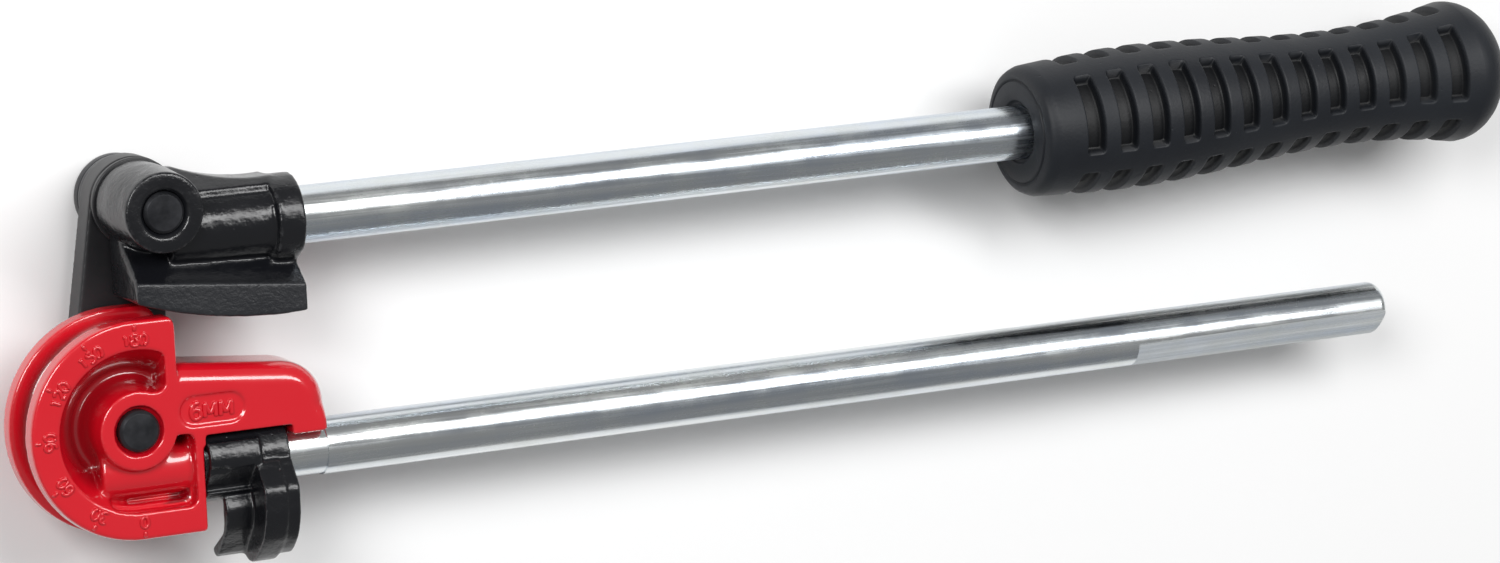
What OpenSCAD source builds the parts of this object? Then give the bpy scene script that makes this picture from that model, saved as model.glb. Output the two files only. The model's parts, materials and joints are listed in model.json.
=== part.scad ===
// Manual tube bender for one size of soft tube, lying on its back.
// +X runs along the fixed handle, +Y from the fixed handle to the swinging one, +Z along the pivot pin.
// The origin is on the pivot pin's axis, on the outer face of the pin's rear head.

/* [Tube and bend] */
// Outside diameter of the tube that is bent
tube_d = 6; // [5:0.5:7]
// Bend radius to the tube's centreline
bend_r = 18; // [17:0.5:21]
// Radial play of the tube in every groove
tube_play = 0.15; // [0.1:0.05:0.3]

/* [Former] */
// Thickness of the former
former_t = 13.1; // [12.5:0.1:15]
// How far the rims stand above the tube's centreline at mid-thickness
rim_over = 1.15; // [0.9:0.05:2]
// Draft of the rims, widening to the rear
rim_draft = 4; // [2:0.5:6]
// Bevel on the edges of the rims
rim_edge = 0.4; // [0.2:0.1:0.8]
// Radius of the raised boss round the pivot
boss_r = 6.7; // [6:0.1:8]
// Where the upper straight of the former ends
corner_x = 7.2; // [6:0.1:8]
// Where the lower straight of the former ends
block_x = 11.2; // [10.5:0.1:11.8]
// Height of the arm above the pivot, at its left end
arm_top = 10.4; // [9:0.1:11]
// Where the arm ends
arm_end = 33.9; // [32:0.1:38]
// Fall of the arm's top to the right, in degrees
arm_fall = 5.6; // [3:0.1:7]
// Rounding of the arm's upper edges
arm_round = 3.5; // [2:0.1:5]
// Height of the pocket's floor above mid-thickness
pocket_floor = -0.5; // [-2:0.1:1]
// How far the pocket's mouth stays inside the tube groove's bottom
pocket_wall = 0.85; // [0.6:0.05:1.6]

/* [Fixed handle] */
// Diameter of the fixed handle's rod
rod_d = 10; // [9:0.1:10.6]
// Distance of the rod's axis from the pivot
rod_drop = 7.83; // [7.6:0.01:8.1]
// Free end of the rod
rod_end = 255.2; // [210:0.1:320]
// Diameter of the spigot pressed into the former
spigot_d = 8; // [7:0.1:8.6]
// How far the spigot runs past the pivot
spigot_past = 5; // [3:0.1:6]
// Where the ground flat at the free end starts
flat_start = 198; // [150:1:205]
// Depth of that flat
flat_depth = 1; // [0.5:0.1:1.5]

/* [Hook] */
// Outside radius of the hook's barrel
barrel_r = 7; // [6.6:0.05:7.05]
// Left end of the barrel
barrel_x = 11.8; // [11.8:0.1:13]
// Right end of the hook
hook_end = 26.5; // [25:0.1:26.8]
// Left end of the gutter
gutter_x = 15; // [14:0.1:17]
// Left side of the thumb rib
rib_x = 20; // [18:0.1:22]
// Wall of the gutter
gutter_wall = 2.2; // [1.6:0.1:3]
// Reach of the thumb rib in front of the tube's centreline
rib_reach = 11; // [8:0.1:12]

/* [Link] */
// Distance between the two pins
link_len = 37.12; // [35:0.01:42]
// Width of the link plate
link_w = 15.6; // [14:0.1:18]
// Thickness of the link plate
link_t = 5.5; // [4:0.1:7]
// Lean of the link from square to the fixed handle at rest
link_lean = 9.16; // [5:0.01:12]

/* [Pins and washers] */
// Diameter of both pins
pin_d = 7.1; // [6:0.1:8]
// Thickness of the pins' rear heads
head_t = 2.4; // [1.5:0.1:3]
// Radius of the rear heads and rear washers
head_r = 7.3; // [6.5:0.1:7.8]
// Thickness of the rear washers
back_washer_t = 2.4; // [1:0.1:3]
// Thickness of the washer between former and link
front_washer_t = 0.6; // [0.4:0.1:1.5]
// Thickness of the washer between lever and link
lever_washer_t = 1.2; // [0.8:0.1:2]

/* [Lever] */
// Radius of the lever's boss at its middle
lever_boss_r = 7.3; // [6.8:0.1:8]
// Height of the lever's boss above mid-thickness
lever_boss_top = 8.6; // [8:0.1:10]
// Draft of the boss from its middle to its front face
boss_draft = 0.45; // [0.2:0.05:0.8]
// Distance of the lever rod's axis below the lever pin
socket_drop = 4.25; // [3.5:0.05:5]
// Radius of the rod socket
socket_r = 6.3; // [6:0.1:7]
// Radius of the collar at the socket's mouth
collar_r = 7.6; // [7.2:0.1:8]
// Length of the collar
collar_len = 4.9; // [3:0.1:7]
// Mouth of the socket, from the lever pin
socket_end = 25.4; // [22:0.1:30]
// Left end of the shoe, from the lever pin
shoe_left = 5.2; // [4:0.1:6]
// Right end of the shoe, from the lever pin
shoe_right = 24.9; // [22:0.1:27]
// Radius of the shoe's crowned underside
shoe_crown = 76.6; // [70:0.1:85]

/* [Swinging handle] */
// End of the lever's rod inside the grip, from the lever pin
lever_rod_end = 265; // [230:1:268]
// Depth of the rod in its socket
socket_depth = 18; // [14:0.1:19]
// Start of the grip, from the lever pin
grip_start = 169.3; // [120:0.1:180]
// Length of the grip
grip_len = 106.5; // [100:0.1:125]
// Lean of the lever at rest
lever_lean = 0.5; // [0:0.1:1.5]

/* [Grip] */
// Lean of the grip's outside from its bore, in degrees
grip_lean = 1.36; // [0:0.02:1.6]
// Radius at the front swell
grip_swell = 13.4; // [12:0.05:14.5]
// Radius at the waist
grip_waist = 11.2; // [10.5:0.05:12]
// Radius at the rear flare
grip_flare = 13.75; // [12.5:0.05:15]
// Number of slots in a row
slot_count = 13; // [8:1:14]
// Distance from slot to slot
slot_pitch = 6.84; // [6:0.01:7.1]
// Width of a slot
slot_w = 3.6; // [2:0.1:4]
// Depth of a slot
slot_depth = 2; // [1:0.1:2.4]
// Width of the plain bands between the rows
band_w = 4.6; // [3:0.1:7]

/* [Hidden] */
$fn = 96;
eps = 0.01;
over = 20;             // how far a cutter runs past what it cuts
press = 0.01;          // radial interference of a press fit
run_gap = 0.05;        // radial clearance of a turning fit
face_gap = 0.05;       // clearance between faces that slide on each other
pin_bevel = 0.5;       // bevel on the pins' ends and heads

// former
tube_r = tube_d / 2;
groove_r = tube_r + tube_play;
half_t = former_t / 2;
rim_mid = bend_r + rim_over;
rim_back = rim_mid + half_t * tan(rim_draft);
rim_front = rim_mid - half_t * tan(rim_draft);
arm_end_r = 7.5;       // rounding of the arm's end, seen from the front
arm_end_x = arm_end - arm_end_r;
arm_end_y = arm_top - (arm_end_x - corner_x) * tan(arm_fall) - arm_end_r / cos(arm_fall);
mouth_r = bend_r - groove_r - pocket_wall;
pocket_high = half_t + 1;
ring_end = corner_x - 2.1;
ring_low = boss_r - 0.4;
lobe_x = block_x - 1.5;
size_x = [9.9, 16.3];  // the size recess, between the centres of its round ends
size_y = 2.2;
size_r = 2.7;

// rods and the spring pins that lock them
rod_r = rod_d / 2;
journal_r = rod_r - 0.25;
journal_end = arm_end + 0.3;
spigot_r = spigot_d / 2;
sleeve_r = spigot_r + 0.9;
lock_r = 1.5;
lock_wall = 0.5;
lock_x = 5;
lock_top = spigot_r - 0.6;

// pivot pins, and the stack behind the former counted down from mid-thickness
pin_r = pin_d / 2;
pin_recess_r = 4.3;
pin_recess = 1.2;
lever_washer_r = 7.7;
link_front = -(half_t + front_washer_t + 2 * face_gap);
link_back = link_front - link_t;
head_front = link_back - back_washer_t - 2 * face_gap;
mid_z = head_t - head_front;
lever_x = link_len * sin(link_lean);
lever_y = link_len * cos(link_lean);
lever_back = link_front + lever_washer_t + 2 * face_gap;

// hook, and the notch it turns in
notch_r = barrel_r + 1.5;
notch_x0 = block_x + 0.4;
notch_x1 = hook_end + 0.8;
lug_bottom = 3.9 - rod_drop;
tube_y = -bend_r;      // centreline of the tube in the hook
cavity_r = tube_r + 0.3;
ridge_z = barrel_r + 0.8;
dip = [-rod_drop - 4.5, 3.9];

// shoe of the lever
shoe_back = 0.05 - half_t;
shoe_front = 7;
shoe_slope = 51;       // lean of the shoe's upper face
seat_y = bend_r - lever_y;
shoe_top = seat_y + 6.85;
shoe_low = seat_y - 1.1;
lever_lock_x = socket_end - 2.4;

// raises what is drawn about mid-thickness to its height above the rear heads
module at_mid() {
  translate([0, 0, mid_z]) children();
}

// the lever pin's frame, with X along the lever's rod
module at_lever(lean = lever_lean) {
  at_mid() translate([lever_x, lever_y, 0]) rotate(lean) children();
}

// a profile drawn in Y and Z, run along X from x0 to x1
module along_x(x0, x1) {
  translate([x0, 0, 0]) rotate([90, 0, 90]) linear_extrude(x1 - x0) children();
}

// a round bar along X from x0 to x1
module bar_x(r, x0, x1, y = 0) {
  translate([x0, y, 0]) rotate([0, 90, 0]) cylinder(r = r, h = x1 - x0);
}

module ring(r, hole_r, z, t) {
  translate([0, 0, z]) difference() {
    cylinder(r = r, h = t);
    translate([0, 0, -1]) cylinder(r = hole_r, h = t + 2);
  }
}

// outline through the points between the first and the last, n steps from one to the next
function curve(p, n = 4) = [
  for (i = [1:len(p) - 3]) for (t = [0:1 / n:1 - 0.5 / n])
    p[i] + (p[i + 1] - p[i - 1]) * t / 2
    + (2 * p[i - 1] - 5 * p[i] + 4 * p[i + 1] - p[i + 2]) * t * t / 2
    + (3 * p[i] - p[i - 1] - 3 * p[i + 1] + p[i + 2]) * t * t * t / 2
];

// a rectangle with rounded corners
module slab(x0, x1, y0, y1, r) {
  translate([x0 + r, y0]) square([x1 - x0 - 2 * r, y1 - y0]);
  translate([x0, y0 + r]) square([x1 - x0, y1 - y0 - 2 * r]);
  for (x = [x0 + r, x1 - r]) for (y = [y0 + r, y1 - r]) translate([x, y]) circle(r);
}

// the former from its middle to its rim
module rim_section() {
  polygon([[0, -half_t], [rim_back - rim_edge, -half_t], [rim_back, -half_t + rim_edge],
           [rim_front, half_t - rim_edge], [rim_front - rim_edge, half_t], [0, half_t]]);
}

// one straight of the former seen from the front, its outer corner rounded
module straight_outline(x1, r) {
  square([x1 - r, rim_back]);
  square([x1, rim_back - r]);
  translate([x1 - r, rim_back - r]) circle(r);
}

// round on the left, with a straight above and a longer one below on the right
module former_blank() {
  intersection() {
    rotate_extrude() rim_section();
    translate([-2 * rim_back, -2 * rim_back, -over]) cube([2 * rim_back + eps, 4 * rim_back, 2 * over]);
  }
  intersection() {
    along_x(0, corner_x) rim_section();
    translate([0, 0, -over]) linear_extrude(2 * over) straight_outline(corner_x, 3);
  }
  intersection() {
    along_x(0, block_x) mirror([1, 0, 0]) rim_section();
    translate([0, 0, -over]) linear_extrude(2 * over) mirror([0, 1, 0]) straight_outline(block_x, 2);
  }
}

// the tube's groove in the rim, opening a little outwards
module groove_section() {
  union() {
    circle(groove_r);
    polygon([[0, -groove_r], [0, groove_r], [rim_over + 2, groove_r + 0.4], [rim_over + 2, -groove_r - 0.4]]);
  }
}

module former_groove() {
  difference() {
    rotate_extrude() translate([bend_r, 0]) groove_section();
    translate([0, -2 * rim_back, -over]) cube([2 * rim_back, 4 * rim_back, 2 * over]);
  }
  along_x(0, corner_x + 1) translate([bend_r, 0]) groove_section();
  along_x(0, block_x + 1) mirror([1, 0, 0]) translate([bend_r, 0]) groove_section();
}

// a block seen along its length, its two upper edges rounded; its top is at zero
module rounded_top(depth, r) {
  translate([-depth, -half_t]) square([depth - r, former_t]);
  translate([-depth, r - half_t]) square([depth, former_t - 2 * r]);
  for (z = [r - half_t, half_t - r]) translate([-r, z]) circle(r);
}

// the arm falls to the right and ends in a rounded nose
module arm() {
  reach = (arm_end_x - corner_x) * cos(arm_fall) + (arm_top - arm_end_y) * sin(arm_fall);
  deep = arm_end_r + 1;
  nose_r = arm_end_r - 0.04;
  intersection() {
    union() {
      translate([corner_x, arm_top, 0]) rotate(-arm_fall) along_x(-corner_x, reach)
        rounded_top(deep, arm_round);
      translate([arm_end_x, arm_end_y, 0]) rotate_extrude() intersection() {
        translate([nose_r, 0]) rounded_top(2 * nose_r, arm_round);
        translate([0, -half_t]) square([nose_r, former_t]);
      }
      translate([arm_end, arm_end_y, 0]) rotate([90, 0, 0]) linear_extrude(arm_end_y - lug_bottom)
        rounded_top(arm_end_r, arm_round);
      translate([boss_r - 2, lug_bottom, -half_t])
        cube([arm_end_x - boss_r + 2, arm_end_y - lug_bottom + 3, former_t]);
    }
    translate([0, lug_bottom, -over]) cube([2 * arm_end, over + arm_top, 2 * over]);
  }
}

// outline of the pocket's lobe, inside the mouth's circle on the left
module lobe_outline(x1, inset, r) {
  intersection() {
    slab(-5, x1, inset - mouth_r, -1.5, r);
    union() {
      circle(mouth_r - inset);
      translate([0, -mouth_r]) square([x1, mouth_r]);
    }
  }
}

// pocket in the front face: a ring round the boss with a sloping outer wall, and a lobe over the spigot
module former_pocket() {
  span = mouth_r - boss_r;
  floor_z = pocket_floor;
  difference() {
    union() {
      intersection() {
        rotate_extrude() polygon([
          [boss_r, pocket_high], [boss_r, half_t], [boss_r + 0.15 * span, floor_z + 1.6],
          [boss_r + 0.23 * span, floor_z + 0.5], [boss_r + 0.33 * span, floor_z],
          [boss_r + 0.41 * span, floor_z + 0.2], [mouth_r, half_t], [mouth_r, pocket_high]]);
        translate([0, 0, floor_z - 1]) linear_extrude(over) union() {
          translate([-2 * bend_r, -2 * bend_r]) square([2 * bend_r + 1, 4 * bend_r]);
          slab(-boss_r, ring_end, ring_low, mouth_r - 0.8, 1.5);
          translate([0, boss_r + 2]) square([ring_end - 1.5, bend_r]);
        }
      }
      difference() {
        union() {
          translate([0, 0, floor_z + 0.6]) linear_extrude(over)
            lobe_outline(lobe_x - 0.4, 0.9, 1.4);
          translate([0, 0, half_t - 3]) linear_extrude(over) lobe_outline(lobe_x, 0, 1.5);
        }
        translate([0, 0, floor_z]) cylinder(r1 = boss_r + 0.2 * span, r2 = boss_r, h = half_t - floor_z);
        cylinder(r = boss_r, h = over);
      }
    }
    // the sleeve round the spigot
    bar_x(sleeve_r, -spigot_past - 1.2, lobe_x + 1, -rod_drop);
  }
}

module former() {
  color("#d01420") at_mid() difference() {
    union() {
      former_blank();
      arm();
    }
    former_groove();
    former_pocket();
    // notch for the hook's barrel, open downwards
    bar_x(notch_r, notch_x0, notch_x1, -rod_drop);
    translate([notch_x0, -2 * bend_r, -over]) cube([notch_x1 - notch_x0, 2 * bend_r - rod_drop, 2 * over]);
    // bore for the spigot, saddle for the rod
    bar_x(spigot_r - press, -spigot_past, notch_x0 + 1, -rod_drop);
    bar_x(journal_r - press, notch_x0, arm_end + 1, -rod_drop);
    // pivot bore and the recess round the pin's front end
    translate([0, 0, -over]) cylinder(r = pin_r - press, h = 2 * over);
    translate([0, 0, half_t - pin_recess]) cylinder(r = pin_recess_r, h = pin_recess + 1);
    // hole for the pin that locks the spigot
    translate([lock_x, -rod_drop, -half_t - 1]) cylinder(r = lock_r - press, h = half_t + 1 + lock_top);
    size_recess();
  }
}

// recess for the raised tube size on the arm
module size_recess() {
  translate([0, 0, half_t - 0.5]) linear_extrude(1)
    union() {
      translate([size_x[0], size_y - size_r]) square([size_x[1] - size_x[0], 2 * size_r]);
      for (x = size_x) translate([x, size_y]) circle(size_r);
    }
}

// a rod along its own Z with a rounded far end
module rod_shape(r, z0, z1) {
  end_round = 1.6;
  rotate_extrude() union() {
    translate([0, z0]) square([r, z1 - z0 - end_round]);
    translate([0, z1 - end_round - eps]) square([r - end_round, end_round + eps]);
    intersection() {
      translate([r - end_round, z1 - end_round]) circle(end_round);
      translate([0, z1 - end_round - eps]) square([r, end_round + 1]);
    }
  }
}

module lower_rod() {
  color("#c9cdd0") at_mid() difference() {
    union() {
      bar_x(spigot_r, 0.2 - spigot_past, notch_x0 + eps, -rod_drop);
      bar_x(journal_r, notch_x0, journal_end + eps, -rod_drop);
      translate([0, -rod_drop, 0]) rotate([90, 0, 90]) rod_shape(rod_r, journal_end, rod_end);
    }
    // ground flat on the front lower side
    translate([flat_start, -rod_drop, 0]) rotate([40, 0, 0]) rotate([0, 0.35, 0])
      translate([0, -rod_d, rod_r - flat_depth]) cube([rod_end - flat_start + 1, 2 * rod_d, rod_r]);
    translate([lock_x, -rod_drop, -over]) cylinder(r = lock_r - press, h = over + lock_top);
  }
}

// slotted spring pin: a split tube
module spring_pin(len) {
  difference() {
    cylinder(r = lock_r, h = len);
    translate([0, 0, -1]) cylinder(r = lock_r - lock_wall, h = len + 2);
    translate([0, -0.2, -1]) cube([2 * lock_r, 0.4, len + 2]);
  }
}

module lower_rod_pin() {
  color("#4a4c50") at_mid() translate([lock_x, -rod_drop, 0.2 - half_t]) spring_pin(half_t + lock_top - 0.4);
}

// the tip of the lip and the inner side of the gutter, back to the barrel; drawn in Y and Z
lip_back = [
  [tube_y - 7.2, -1.3], [tube_y - 7, -2.2], [tube_y - 6.4, -2.8], [tube_y - 5.8, -2.8],
  [tube_y - cavity_r * sin(50), cavity_r * cos(50)], [tube_y, cavity_r], [-rod_drop, cavity_r]
];

// front of the gutter from the ridge over the dip and round the tube to the lip
module gutter_section() {
  rise = cavity_r + gutter_wall;
  polygon(concat([[-rod_drop, ridge_z]],
    curve([[-rod_drop - 2, 6], dip, [tube_y + 3.6, rise - 0.7], [tube_y + 2, rise - 0.15],
           [tube_y, rise - 0.55], [tube_y - 1.5, rise - 1.3], [tube_y - 4.2, rise - 3.6],
           [tube_y - 6.9, -0.5], [tube_y - 7.2, -1.3]]), lip_back));
}

// front of the thumb rib from the barrel round the tube to the lip, drawn back by s
module rib_section(s) {
  top = rib_reach - s;
  polygon(concat([[-rod_drop + 3, 3]],
    curve([[-rod_drop + 4, 6], [-rod_drop - 0.2, ridge_z - s], [-rod_drop - 2.1, 0.84 * top],
           [tube_y + 6, 0.985 * top], [tube_y + 3.6, top], [tube_y + 1.2, 0.99 * top],
           [tube_y - 2.2, 0.875 * top], [tube_y - 4.7, 0.69 * top], [tube_y - 6.8 + s, 0.47 * top],
           [tube_y - 7.9 + s, 0.27 * top], [tube_y - 8 + s, 1], [tube_y - 7.5 + s, -0.5],
           [tube_y - 7.2, -1.3]]), lip_back));
}

module hook() {
  crease_x = rib_x + 4;
  step = 0.3;
  short_by = 1.4;
  color("#17181b") at_mid() difference() {
    union() {
      difference() {
        union() {
          bar_x(barrel_r, barrel_x, hook_end, -rod_drop);
          // pad with its ridge level with the rod
          intersection() {
            along_x(barrel_x, rib_x + 1) translate([-rod_drop, 0]) square([4.2, ridge_z]);
            bar_x(ridge_z + 0.1, barrel_x, hook_end, -rod_drop);
          }
        }
        // below the ridge the barrel is cut back to the dip
        along_x(barrel_x - 1, rib_x) polygon([[-rod_drop, ridge_z], dip, [dip[0] - 1, 2 * ridge_z],
                                              [-rod_drop, 2 * ridge_z]]);
      }
      along_x(gutter_x, rib_x + eps) gutter_section();
      along_x(rib_x, crease_x) rib_section(0);
      difference() {
        along_x(crease_x - eps, hook_end) rib_section(step);
        translate([crease_x, tube_y - over - 8 + short_by, -over]) cube([over, over, 2 * over]);
      }
    }
    bar_x(journal_r + run_gap, barrel_x - 1, hook_end + 1, -rod_drop);
    // passage of the tube
    bar_x(cavity_r, 0, 2 * hook_end, tube_y);
  }
}

// a pin with its riveted rear head, its front end at the height top
module headed_pin(top) {
  long = top - head_front + head_t;
  translate([0, 0, head_front - head_t]) rotate_extrude() polygon([
    [0, 0], [head_r - pin_bevel, 0], [head_r, pin_bevel], [head_r, head_t], [pin_r, head_t],
    [pin_r, long - pin_bevel], [pin_r - pin_bevel, long], [0, long]]);
}

module pivot_pin() {
  color("#2b2d30") at_mid() headed_pin(half_t + 0.5);
}

module pivot_washer() {
  color("#3a3c40") at_mid() ring(head_r + 0.1, pin_r + run_gap, link_front + face_gap, front_washer_t);
}

module pivot_back_washer() {
  color("#3a3c40") at_mid() ring(head_r, pin_r + run_gap, head_front + face_gap, back_washer_t);
}

module link_plate() {
  color("#1b1c1e") at_mid() rotate(-link_lean) difference() {
    translate([0, 0, link_back]) linear_extrude(link_t) union() {
      circle(link_w / 2);
      translate([0, link_len]) circle(link_w / 2);
      translate([-link_w / 2, 0]) square([link_w, link_len]);
    }
    translate([0, 0, link_back - 1]) cylinder(r = pin_r + run_gap, h = link_t + 2);
    translate([0, link_len, link_back - 1]) cylinder(r = pin_r - press, h = link_t + 2);
  }
}

module lever_pin() {
  color("#2b2d30") at_lever() headed_pin(lever_boss_top - 0.2);
}

module lever_washer() {
  color("#1b1c1e") at_lever() ring(lever_washer_r, pin_r + run_gap, link_front + face_gap, lever_washer_t);
}

module lever_back_washer() {
  color("#3a3c40") at_lever() ring(head_r, pin_r + run_gap, head_front + face_gap, back_washer_t);
}

// outline of the shoe: square ends and a crowned underside
module shoe_outline() {
  intersection() {
    translate([-shoe_left, shoe_low - 4]) square([shoe_left + shoe_right, over + 6]);
    translate([20.8, shoe_low + shoe_crown]) circle(shoe_crown, $fn = 360);
  }
}

// the shoe's upper face leans back from its front band
module shoe() {
  rise = (shoe_front - shoe_back) / tan(shoe_slope);
  intersection() {
    translate([0, 0, shoe_back]) linear_extrude(shoe_front - shoe_back) shoe_outline();
    translate([-shoe_left, shoe_top, 0]) rotate(-6.1) along_x(-3, 40) polygon([
      [-over, shoe_back - 1], [-over, shoe_front + 1], [0, shoe_front + 1], [0, shoe_front],
      [rise, shoe_back], [rise, shoe_back - 1]]);
  }
}

// web over the socket: hollow along its top, which falls towards the front
module lever_web() {
  hollow_r = 36;
  low_x = 19;
  back = -4.5;
  front = 3.5;
  web_end = socket_end - collar_len + 1;
  intersection() {
    translate([0, -socket_drop, back]) linear_extrude(front - back) difference() {
      square([web_end, 6 + socket_drop]);
      translate([low_x, collar_r - 0.05 + hollow_r]) circle(hollow_r, $fn = 240);
    }
    along_x(-1, web_end + 1) translate([-socket_drop, 0])
      polygon([[-2, back - 1], [-2, front + 1], [5.8, front + 1], [12, back - 1]]);
  }
}

module lever() {
  mouth = 0.7;
  color("#17181b") at_lever() difference() {
    union() {
      translate([0, 0, lever_back]) cylinder(r = lever_boss_r, h = -lever_back);
      cylinder(r1 = lever_boss_r, r2 = lever_boss_r - boss_draft, h = lever_boss_top);
      bar_x(socket_r, 2, socket_end - 1, -socket_drop);
      bar_x(collar_r, socket_end - collar_len, socket_end, -socket_drop);
      lever_web();
      shoe();
      // back wall between shoe and socket
      translate([2, seat_y + 2, shoe_back])
        cube([socket_end - collar_len - 2, -socket_drop - seat_y - 2, -3 - shoe_back]);
    }
    // bore for the lever pin, and the shallow recess round its end
    translate([0, 0, -over]) cylinder(r = pin_r + run_gap, h = 2 * over);
    translate([0, 0, lever_boss_top - mouth]) cylinder(r = pin_r + 0.6, h = 2 * mouth);
    bar_x(rod_r - press, socket_end - socket_depth, socket_end + 1, -socket_drop);
    // room for the washer behind the boss
    translate([0, 0, -over]) cylinder(r = lever_washer_r + 0.4, h = over + lever_back);
    // half-round seat for the tube along the shoe
    bar_x(groove_r, -10, 40, seat_y);
    translate([-10, seat_y - 10, -groove_r]) cube([50, 10, 2 * groove_r]);
    translate([lever_lock_x, -socket_drop, -over]) cylinder(r = lock_r - press, h = over + rod_r - 1);
  }
}

module upper_rod() {
  color("#c9cdd0") at_lever() difference() {
    bar_x(rod_r, socket_end - socket_depth + 0.2, lever_rod_end, -socket_drop);
    translate([lever_lock_x, -socket_drop, -over]) cylinder(r = lock_r - press, h = over + rod_r - 1);
  }
}

module upper_rod_pin() {
  sunk = 0.35;
  color("#4a4c50") at_lever() translate([lever_lock_x, -socket_drop, sunk - collar_r])
    spring_pin(collar_r - sunk + rod_r - 1.2);
}

// radius of the grip at a distance x from its front face
swell_at = 25;
waist_at = 70;
dome = 9.5;
dome_at = grip_len - dome;
function grip_r(x) = x < waist_at
  ? (grip_swell + grip_waist) / 2
    + (grip_swell - grip_waist) / 2 * cos(180 * (x - swell_at) / (waist_at - swell_at))
  : grip_waist + (grip_flare - grip_waist) * pow((x - waist_at) / (dome_at - waist_at), 2);

module grip_outline() {
  steps = 30;
  shoulder = 2.2;
  face_r = 9.7;
  tip_r = 2;
  body = [for (i = [0:steps]) let (x = shoulder + (dome_at - shoulder) * i / steps) [grip_r(x), x]];
  end = [for (a = [15:15:75]) [grip_flare * cos(a) + (1 - cos(a)) * tip_r, dome_at + dome * sin(a)]];
  tip = [[tip_r, grip_len], [0, grip_len]];
  polygon(concat([[0, 0], [face_r, 0], [grip_r(0) - 0.9, 0.6]], body, end, tip));
}

module grip() {
  first_slot = 9.7;
  row_turn = -17;
  color("#2c2e31") at_lever() translate([grip_start, -socket_drop, 0]) difference() {
    rotate(grip_lean) difference() {
      rotate([0, 90, 0]) rotate_extrude() grip_outline();
      for (i = [0:slot_count - 1]) {
        x = first_slot + i * slot_pitch;
        floor_r = grip_r(x) - slot_depth;
        rotate([row_turn, 0, 0]) difference() {
          bar_x(over, x - slot_w / 2, x + slot_w / 2);
          bar_x(floor_r, x - slot_w, x + slot_w);
          for (a = [45, 135]) rotate([a, 0, 0]) translate([x - slot_w, -over - 1, -band_w / 2])
            cube([2 * slot_w, 2 * over + 2, band_w]);
        }
      }
    }
    bar_x(rod_r - press, -1, lever_rod_end - grip_start + 0.2);
    // shallow recess round the rod at the mouth
    bar_x(rod_r + 0.9, -1, 0.8);
  }
}

former();
lower_rod();
lower_rod_pin();
hook();
pivot_pin();
pivot_washer();
pivot_back_washer();
link_plate();
lever_pin();
lever_washer();
lever_back_washer();
lever();
upper_rod();
upper_rod_pin();
grip();
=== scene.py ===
import json
import math
import bmesh
import bpy
import numpy as np
from mathutils import Matrix, Vector


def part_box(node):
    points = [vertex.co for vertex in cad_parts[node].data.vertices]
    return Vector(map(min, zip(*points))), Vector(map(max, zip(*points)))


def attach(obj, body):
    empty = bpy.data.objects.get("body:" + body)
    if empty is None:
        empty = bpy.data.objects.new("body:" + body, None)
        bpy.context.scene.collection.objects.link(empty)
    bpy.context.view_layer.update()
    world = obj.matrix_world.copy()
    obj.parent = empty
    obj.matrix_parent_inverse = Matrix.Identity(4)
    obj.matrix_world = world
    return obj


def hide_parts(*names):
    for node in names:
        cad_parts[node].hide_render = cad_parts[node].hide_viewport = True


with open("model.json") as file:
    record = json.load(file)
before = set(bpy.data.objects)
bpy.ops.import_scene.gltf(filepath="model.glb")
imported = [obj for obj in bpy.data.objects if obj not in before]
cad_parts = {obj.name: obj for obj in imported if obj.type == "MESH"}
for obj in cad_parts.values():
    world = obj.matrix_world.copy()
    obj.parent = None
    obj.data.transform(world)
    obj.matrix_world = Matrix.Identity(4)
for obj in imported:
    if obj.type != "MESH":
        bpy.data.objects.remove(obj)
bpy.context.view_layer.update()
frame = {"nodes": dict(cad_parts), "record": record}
print("frame loaded:", len(frame["nodes"]), "nodes")

mm = 0.001
scene = bpy.context.scene
slotOf = {part["node"]: part["material_slot"] for part in frame["record"]["subparts"]}
bodyOf = {node: body for body, nodes in frame["record"]["behaviour"]["bodies"].items() for node in nodes}

# the pivot pin stands on the frame's origin; the tool's middle plane is half-way up its former
formerLow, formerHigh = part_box("former")
midZ = (formerLow[2] + formerHigh[2]) / 2
faceZ = formerHigh[2]


def addNode(tree, kind, **settings):
    node = tree.nodes.new(kind)
    for key, value in settings.items():
        if key in node.inputs:
            node.inputs[key].default_value = value
        else:
            setattr(node, key, value)
    return node


def mathNode(tree, operation, first, second=None):
    node = tree.nodes.new("ShaderNodeMath")
    node.operation = operation
    for socket, value in zip(node.inputs, (first, second)):
        if value is None:
            continue
        if isinstance(value, (int, float)):
            socket.default_value = value
        else:
            tree.links.new(value, socket)
    return node.outputs[0]


def rangeNode(tree, value, low, high, newLow, newHigh):
    node = addNode(tree, "ShaderNodeMapRange")
    tree.links.new(value, node.inputs["Value"])
    for name, number in zip(("From Min", "From Max", "To Min", "To Max"), (low, high, newLow, newHigh)):
        node.inputs[name].default_value = number
    return node.outputs["Result"]


def noiseNode(tree, coords, scale, detail=2.0, roughness=0.5):
    node = addNode(tree, "ShaderNodeTexNoise", Detail=detail, Roughness=roughness)
    tree.links.new(coords, node.inputs["Vector"])
    if isinstance(scale, (int, float)):
        node.inputs["Scale"].default_value = scale
    else:
        tree.links.new(scale, node.inputs["Scale"])
    return node.outputs["Fac"]


def mixColours(tree, mask, first, second):
    node = tree.nodes.new("ShaderNodeMix")
    node.data_type = "RGBA"
    tree.links.new(mask, node.inputs[0])
    for socket, value in ((node.inputs[6], first), (node.inputs[7], second)):
        if isinstance(value, tuple):
            socket.default_value = (*value, 1)
        else:
            tree.links.new(value, socket)
    return node.outputs[2]


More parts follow.
